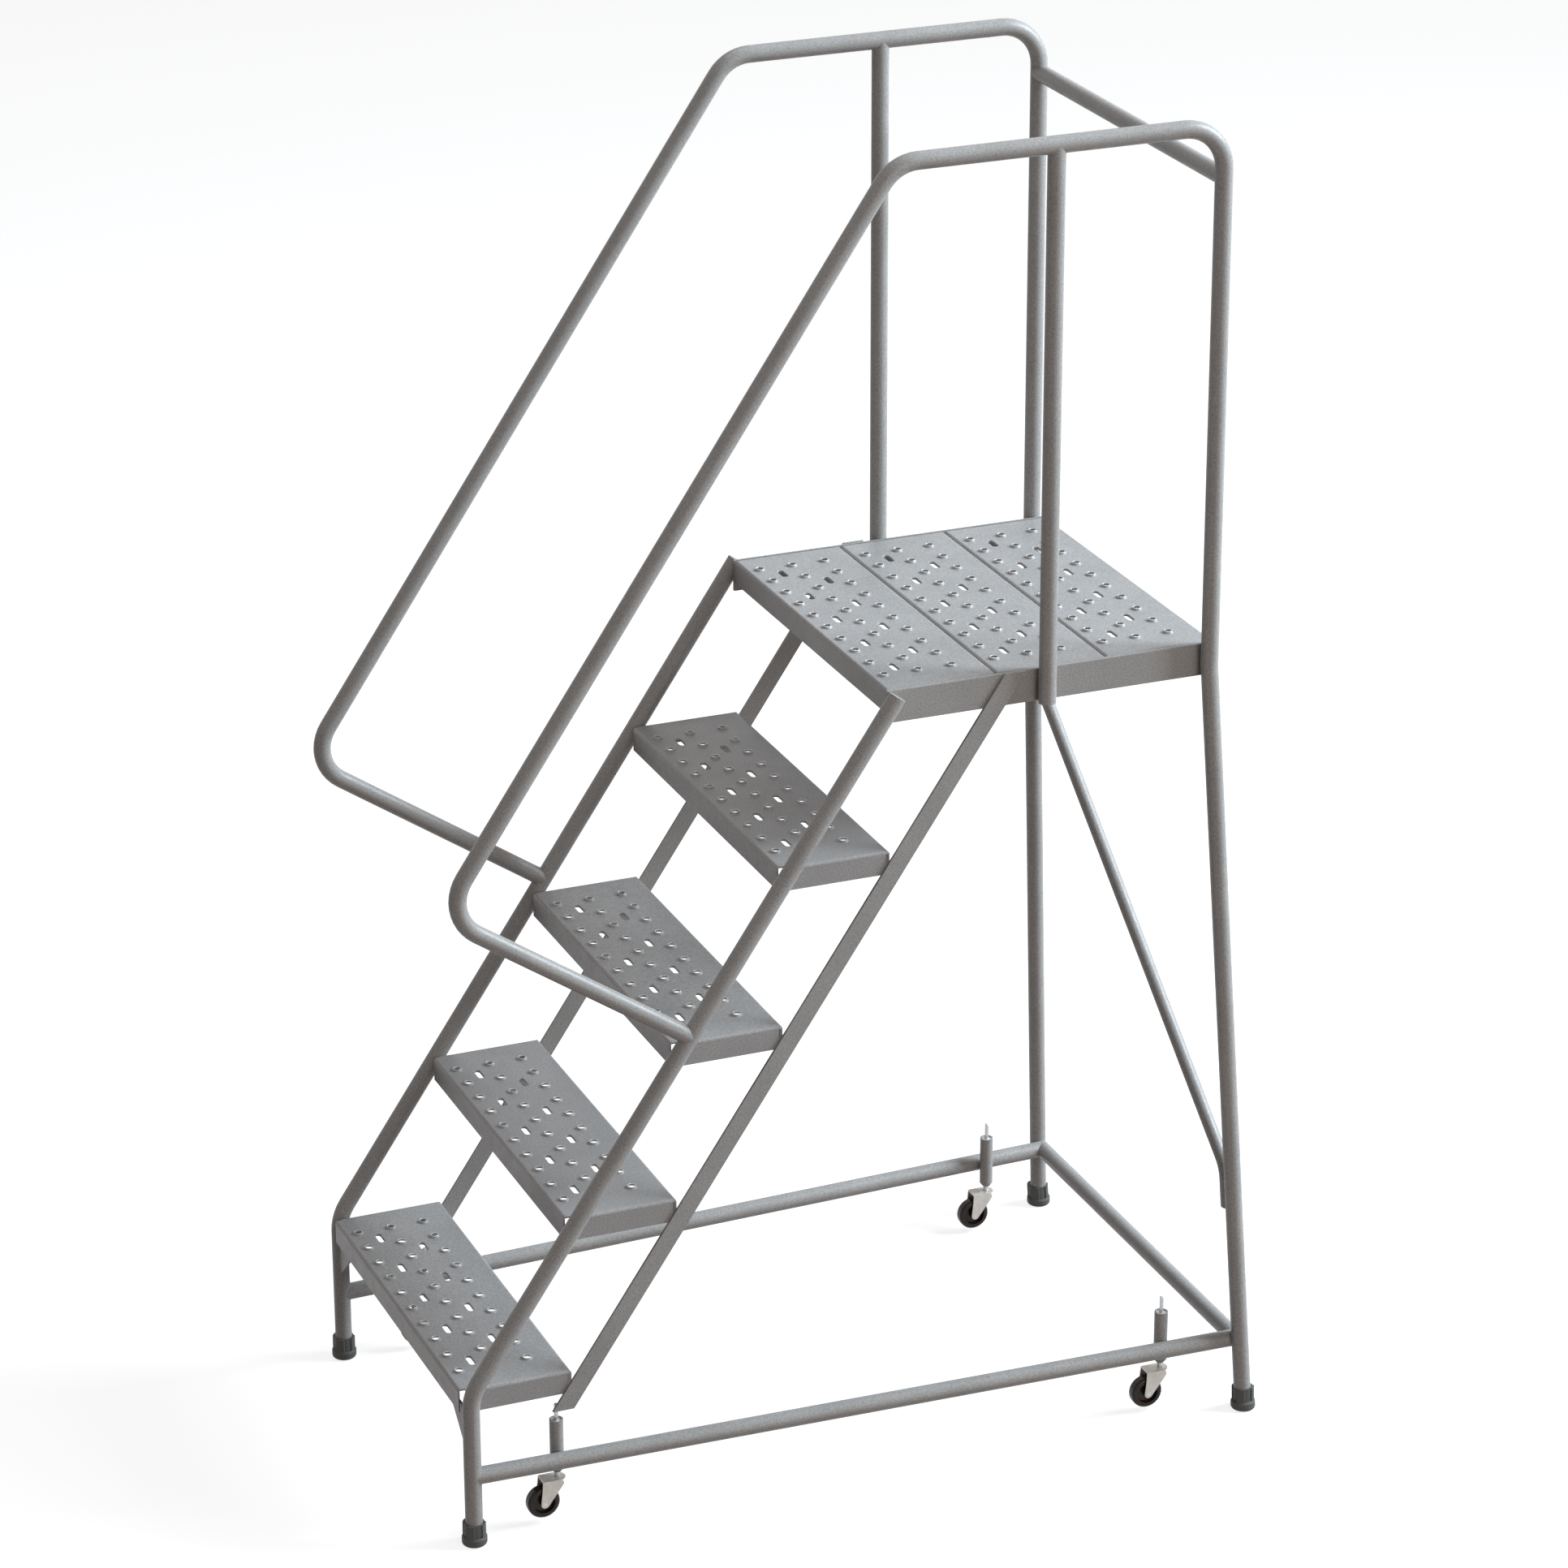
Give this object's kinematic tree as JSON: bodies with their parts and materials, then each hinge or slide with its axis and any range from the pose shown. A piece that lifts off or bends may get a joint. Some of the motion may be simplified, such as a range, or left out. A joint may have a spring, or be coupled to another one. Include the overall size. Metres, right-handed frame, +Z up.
{
  "type": "mobile ladder stand",
  "caption": "Rolling steel ladder stand with perforated treads, a planked platform with tubular guardrails, rubber feet and sprung swivel casters.",
  "frame": {"origin": "on the floor, midway between the four feet", "axes": "+Z up, +Y from the bottom step towards the back (the way a climber faces), +X to the climber's right"},
  "size_m": [0.8062, 1.2934, 2.0794],
  "materials": {
    "frame_paint": "satin powder coat, fine texture",
    "tread_paint": "satin powder coat, fine texture",
    "foot_rubber": "moulded, matt",
    "fork_zinc": "bright zinc plate",
    "stem_steel": "zinc-plated turned steel",
    "spring_steel": "drawn wire",
    "wheel_black": "hard glossy moulding"
  },
  "bodies": {
    "frame": {"left_side_rail": "frame_paint", "left_stringer": "frame_paint", "left_mid_post": "frame_paint", "left_base_rail": "frame_paint", "left_tread_bar": "frame_paint", "left_platform_skirt": "frame_paint", "left_gusset": "frame_paint", "right_side_rail": "frame_paint", "right_stringer": "frame_paint", "right_mid_post": "frame_paint", "right_base_rail": "frame_paint", "right_tread_bar": "frame_paint", "right_platform_skirt": "frame_paint", "right_gusset": "frame_paint", "top_cross_rail": "frame_paint", "rear_base_rail": "frame_paint", "rear_brace": "frame_paint", "tread_1": "tread_paint", "tread_2": "tread_paint", "tread_3": "tread_paint", "tread_4": "tread_paint", "platform_plank_front": "tread_paint", "platform_plank_middle": "tread_paint", "platform_plank_rear": "tread_paint", "front_left_foot": "foot_rubber", "front_right_foot": "foot_rubber", "rear_left_foot": "foot_rubber", "rear_right_foot": "foot_rubber", "front_left_caster_sleeve": "frame_paint", "front_left_caster_guide": "stem_steel", "front_left_caster_spring": "spring_steel", "front_right_caster_sleeve": "frame_paint", "front_right_caster_guide": "stem_steel", "front_right_caster_spring": "spring_steel", "rear_left_caster_sleeve": "frame_paint", "rear_left_caster_guide": "stem_steel", "rear_left_caster_spring": "spring_steel", "rear_right_caster_sleeve": "frame_paint", "rear_right_caster_guide": "stem_steel", "rear_right_caster_spring": "spring_steel"},
    "front_left_stem": {"front_left_caster_stem": "stem_steel"},
    "front_left_fork": {"front_left_caster_fork": "fork_zinc", "front_left_caster_axle": "stem_steel"},
    "front_left_wheel": {"front_left_caster_wheel": "wheel_black"},
    "front_right_stem": {"front_right_caster_stem": "stem_steel"},
    "front_right_fork": {"front_right_caster_fork": "fork_zinc", "front_right_caster_axle": "stem_steel"},
    "front_right_wheel": {"front_right_caster_wheel": "wheel_black"},
    "rear_left_stem": {"rear_left_caster_stem": "stem_steel"},
    "rear_left_fork": {"rear_left_caster_fork": "fork_zinc", "rear_left_caster_axle": "stem_steel"},
    "rear_left_wheel": {"rear_left_caster_wheel": "wheel_black"},
    "rear_right_stem": {"rear_right_caster_stem": "stem_steel"},
    "rear_right_fork": {"rear_right_caster_fork": "fork_zinc", "rear_right_caster_axle": "stem_steel"},
    "rear_right_wheel": {"rear_right_caster_wheel": "wheel_black"}
  },
  "joints": [
    {"name": "front_left_caster_slide", "type": "slide", "parent": "frame", "child": "front_left_stem", "axis": [0, 0, 1], "range_m": [-0.0187, 0.006], "stiffness_N_per_m": 2500, "deforming": ["front_left_caster_spring"]},
    {"name": "front_left_caster_swivel", "type": "hinge", "parent": "front_left_stem", "child": "front_left_fork", "pos_m": [-0.29823, -0.4869, 0.0746], "axis": [0, 0, 1], "continuous": true},
    {"name": "front_left_wheel_spin", "type": "hinge", "parent": "front_left_fork", "child": "front_left_wheel", "pos_m": [-0.29823, -0.5112, 0.0368], "axis": [1, 0, 0], "continuous": true},
    {"name": "front_right_caster_slide", "type": "slide", "parent": "frame", "child": "front_right_stem", "axis": [0, 0, 1], "range_m": [-0.0187, 0.006], "stiffness_N_per_m": 2500, "deforming": ["front_right_caster_spring"]},
    {"name": "front_right_caster_swivel", "type": "hinge", "parent": "front_right_stem", "child": "front_right_fork", "pos_m": [0.29823, -0.4869, 0.0746], "axis": [0, 0, 1], "continuous": true},
    {"name": "front_right_wheel_spin", "type": "hinge", "parent": "front_right_fork", "child": "front_right_wheel", "pos_m": [0.29823, -0.5112, 0.0368], "axis": [1, 0, 0], "continuous": true},
    {"name": "rear_left_caster_slide", "type": "slide", "parent": "frame", "child": "rear_left_stem", "axis": [0, 0, 1], "range_m": [-0.0187, 0.006], "stiffness_N_per_m": 2500, "deforming": ["rear_left_caster_spring"]},
    {"name": "rear_left_caster_swivel", "type": "hinge", "parent": "rear_left_stem", "child": "rear_left_fork", "pos_m": [-0.33206, 0.5054, 0.0714], "axis": [0, 0, 1], "continuous": true},
    {"name": "rear_left_wheel_spin", "type": "hinge", "parent": "rear_left_fork", "child": "rear_left_wheel", "pos_m": [-0.33206, 0.4811, 0.0336], "axis": [1, 0, 0], "continuous": true},
    {"name": "rear_right_caster_slide", "type": "slide", "parent": "frame", "child": "rear_right_stem", "axis": [0, 0, 1], "range_m": [-0.0187, 0.006], "stiffness_N_per_m": 2500, "deforming": ["rear_right_caster_spring"]},
    {"name": "rear_right_caster_swivel", "type": "hinge", "parent": "rear_right_stem", "child": "rear_right_fork", "pos_m": [0.33206, 0.5054, 0.0714], "axis": [0, 0, 1], "continuous": true},
    {"name": "rear_right_wheel_spin", "type": "hinge", "parent": "rear_right_fork", "child": "rear_right_wheel", "pos_m": [0.33206, 0.4811, 0.0336], "axis": [1, 0, 0], "continuous": true}
  ]
}
